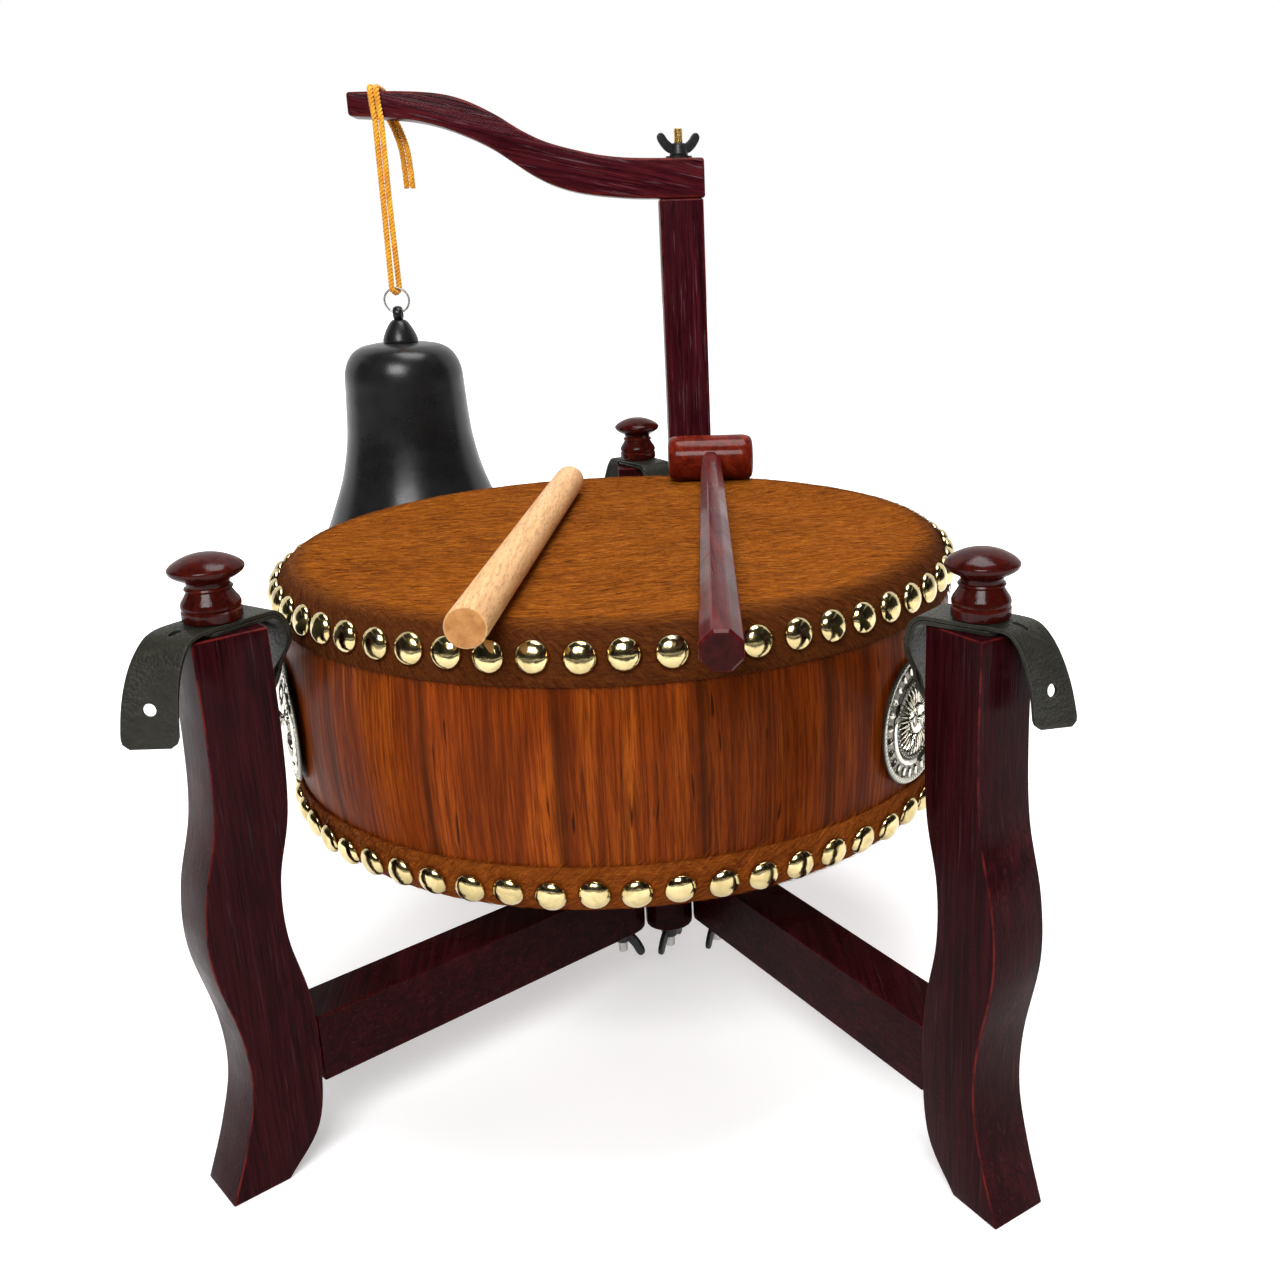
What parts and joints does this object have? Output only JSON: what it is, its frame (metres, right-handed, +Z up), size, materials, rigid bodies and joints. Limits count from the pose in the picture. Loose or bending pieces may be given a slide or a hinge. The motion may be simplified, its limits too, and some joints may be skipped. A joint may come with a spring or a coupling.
{
  "type": "flat drum on folding stand with bell",
  "caption": "Flat barrel drum with haired hide heads and gilt studs, hung by leather straps on a folding tripod stand, with a bell hung from a side arm.",
  "frame": {"origin": "bottom centre of the box round the whole set, on the floor under the drum", "axes": "+Z up; +Y from the front of the drum towards the leg that carries the bell post; +X to the right as seen from the front"},
  "size_m": [0.4391, 0.5805, 0.5819],
  "materials": {
    "dark_lacquer": "dark maroon lacquer over open grain, glossy",
    "stave_wood": "orange-brown varnished staves, upright grain, semi-gloss",
    "haired_hide": "brown hide with its short hair on, matt",
    "gilt_studs": "polished pale gold domes",
    "plate_chrome": "polished, with radial ribs",
    "plain_steel": "plain bright steel",
    "arm_stud_brass": "yellowish plated thread",
    "black_steel": "black, satin",
    "strap_leather": "black-green, dull, pebbled",
    "bell_black": "satin black",
    "cord_yellow": "braided yellow-orange cord",
    "pale_beech": "pale bare beech, sanded",
    "red_lacquer": "red-brown lacquer, high gloss"
  },
  "bodies": {
    "hub": {"hub_plate": "dark_lacquer", "hub_bolt_left": "plain_steel", "hub_bolt_right": "plain_steel", "hub_bolt_back": "plain_steel", "hub_washer_left": "black_steel", "hub_washer_right": "black_steel", "hub_washer_back": "black_steel"},
    "left_leg": {"leg_left": "dark_lacquer", "rail_left": "dark_lacquer", "knob_stud_left": "plain_steel", "strap_left": "strap_leather"},
    "right_leg": {"leg_right": "dark_lacquer", "rail_right": "dark_lacquer", "knob_stud_right": "plain_steel", "strap_right": "strap_leather"},
    "back_leg": {"leg_back": "dark_lacquer", "rail_back": "dark_lacquer", "knob_stud_back": "plain_steel", "strap_back": "strap_leather", "bell_post": "dark_lacquer", "post_packer": "dark_lacquer", "post_bolt_upper": "plain_steel", "post_bolt_lower": "plain_steel", "post_nut_upper": "plain_steel", "post_nut_lower": "plain_steel", "arm_stud": "arm_stud_brass"},
    "drum": {"drum_shell": "stave_wood", "drum_head_top": "haired_hide", "drum_head_bottom": "haired_hide", "stud_row_top": "gilt_studs", "stud_row_bottom": "gilt_studs", "ring_plate_left": "plate_chrome", "ring_plate_right": "plate_chrome", "ring_plate_back": "plate_chrome", "ring_pin_left": "plate_chrome", "ring_pin_right": "plate_chrome", "ring_pin_back": "plate_chrome"},
    "left_ring": {"drum_ring_left": "plain_steel"},
    "left_knob": {"knob_left": "red_lacquer"},
    "left_hub_nut": {"hub_wing_nut_left": "black_steel"},
    "right_ring": {"drum_ring_right": "plain_steel"},
    "right_knob": {"knob_right": "red_lacquer"},
    "right_hub_nut": {"hub_wing_nut_right": "black_steel"},
    "back_ring": {"drum_ring_back": "plain_steel"},
    "back_knob": {"knob_back": "red_lacquer"},
    "back_hub_nut": {"hub_wing_nut_back": "black_steel"},
    "arm": {"bell_arm": "dark_lacquer", "arm_washer": "black_steel", "cord_hitch_outer": "cord_yellow", "cord_hitch_inner": "cord_yellow"},
    "arm_nut": {"arm_wing_nut": "black_steel"},
    "bell_cord": {"cord_drop": "cord_yellow", "split_ring": "plain_steel"},
    "hanging_bell": {"bell": "bell_black", "bell_crown": "bell_black", "crown_nut": "bell_black"},
    "stick": {"drum_stick": "pale_beech"},
    "mallet": {"mallet_head": "red_lacquer", "mallet_handle": "red_lacquer"}
  },
  "joints": [
    {"name": "left_leg_swivel", "type": "hinge", "parent": "hub", "child": "left_leg", "pos_m": [0.00332, -0.0488, 0.066], "axis": [0, 0, 1], "range_deg": [-15, 25]},
    {"name": "right_leg_swivel", "type": "hinge", "parent": "hub", "child": "right_leg", "pos_m": [0.06508, -0.0434, 0.066], "axis": [0, 0, 1], "range_deg": [-20, 60]},
    {"name": "back_leg_swivel", "type": "hinge", "parent": "hub", "child": "back_leg", "pos_m": [0.0342, -0.0461, 0.066], "axis": [0, 0, 1], "range_deg": [-7, 17]},
    {"name": "drum_lift", "type": "slide", "parent": "hub", "child": "drum", "axis": [0, 0, 1], "range_m": [0, 0.25], "deforming": ["strap_left", "strap_right", "strap_back"]},
    {"name": "left_ring_swing", "type": "hinge", "parent": "drum", "child": "left_ring", "pos_m": [-0.18639, -0.09129, 0.218], "axis": [0.342, -0.9397, 0], "range_deg": [0, 100]},
    {"name": "right_ring_swing", "type": "hinge", "parent": "drum", "child": "right_ring", "pos_m": [0.17863, -0.15566, 0.218], "axis": [0.6428, 0.766, 0], "range_deg": [0, 100]},
    {"name": "back_ring_swing", "type": "hinge", "parent": "drum", "child": "back_ring", "pos_m": [0.05186, 0.19265, 0.218], "axis": [-0.9848, 0.1736, 0], "range_deg": [0, 7]},
    {"name": "left_knob_turn", "type": "hinge", "parent": "left_leg", "child": "left_knob", "pos_m": [-0.17843, -0.18599, 0.3049], "axis": [0, 0, 1], "continuous": true},
    {"name": "right_knob_turn", "type": "hinge", "parent": "right_leg", "child": "right_knob", "pos_m": [0.17662, -0.24764, 0.3049], "axis": [0, 0, 1], "continuous": true},
    {"name": "back_knob_turn", "type": "hinge", "parent": "back_leg", "child": "back_knob", "pos_m": [0.03352, 0.22648, 0.3049], "axis": [0, 0, 1], "continuous": true},
    {"name": "left_hub_nut_turn", "type": "hinge", "parent": "hub", "child": "left_hub_nut", "pos_m": [0.00332, -0.0488, 0.04], "axis": [0, 0, 1], "continuous": true},
    {"name": "right_hub_nut_turn", "type": "hinge", "parent": "hub", "child": "right_hub_nut", "pos_m": [0.06508, -0.0434, 0.04], "axis": [0, 0, 1], "continuous": true},
    {"name": "back_hub_nut_turn", "type": "hinge", "parent": "hub", "child": "back_hub_nut", "pos_m": [0.0342, -0.0461, 0.04], "axis": [0, 0, 1], "continuous": true},
    {"name": "arm_swivel", "type": "hinge", "parent": "back_leg", "child": "arm", "pos_m": [0.07502, 0.23388, 0.5142], "axis": [0, 0, -1], "range_deg": [0, 90]},
    {"name": "arm_nut_turn", "type": "hinge", "parent": "back_leg", "child": "arm_nut", "pos_m": [0.07502, 0.23388, 0.535], "axis": [0, 0, 1], "continuous": true},
    {"name": "bell_swing", "type": "hinge", "parent": "arm", "child": "bell_cord", "pos_m": [-0.14068, 0.21848, 0.5575], "axis": [1, 0, 0], "range_deg": [-1, 25], "deforming": ["cord_drop", "cord_hitch_outer", "cord_hitch_inner"]},
    {"name": "bell_tilt", "type": "hinge", "parent": "bell_cord", "child": "hanging_bell", "pos_m": [-0.14068, 0.21848, 0.4318], "axis": [0, 1, 0], "range_deg": [-1, 20]},
    {"name": "stick_lift", "type": "slide", "parent": "drum", "child": "stick", "axis": [0, 0, 1], "range_m": [0, 0.1]},
    {"name": "mallet_lift", "type": "slide", "parent": "drum", "child": "mallet", "axis": [0, 0, 1], "range_m": [0, 0.1]}
  ]
}
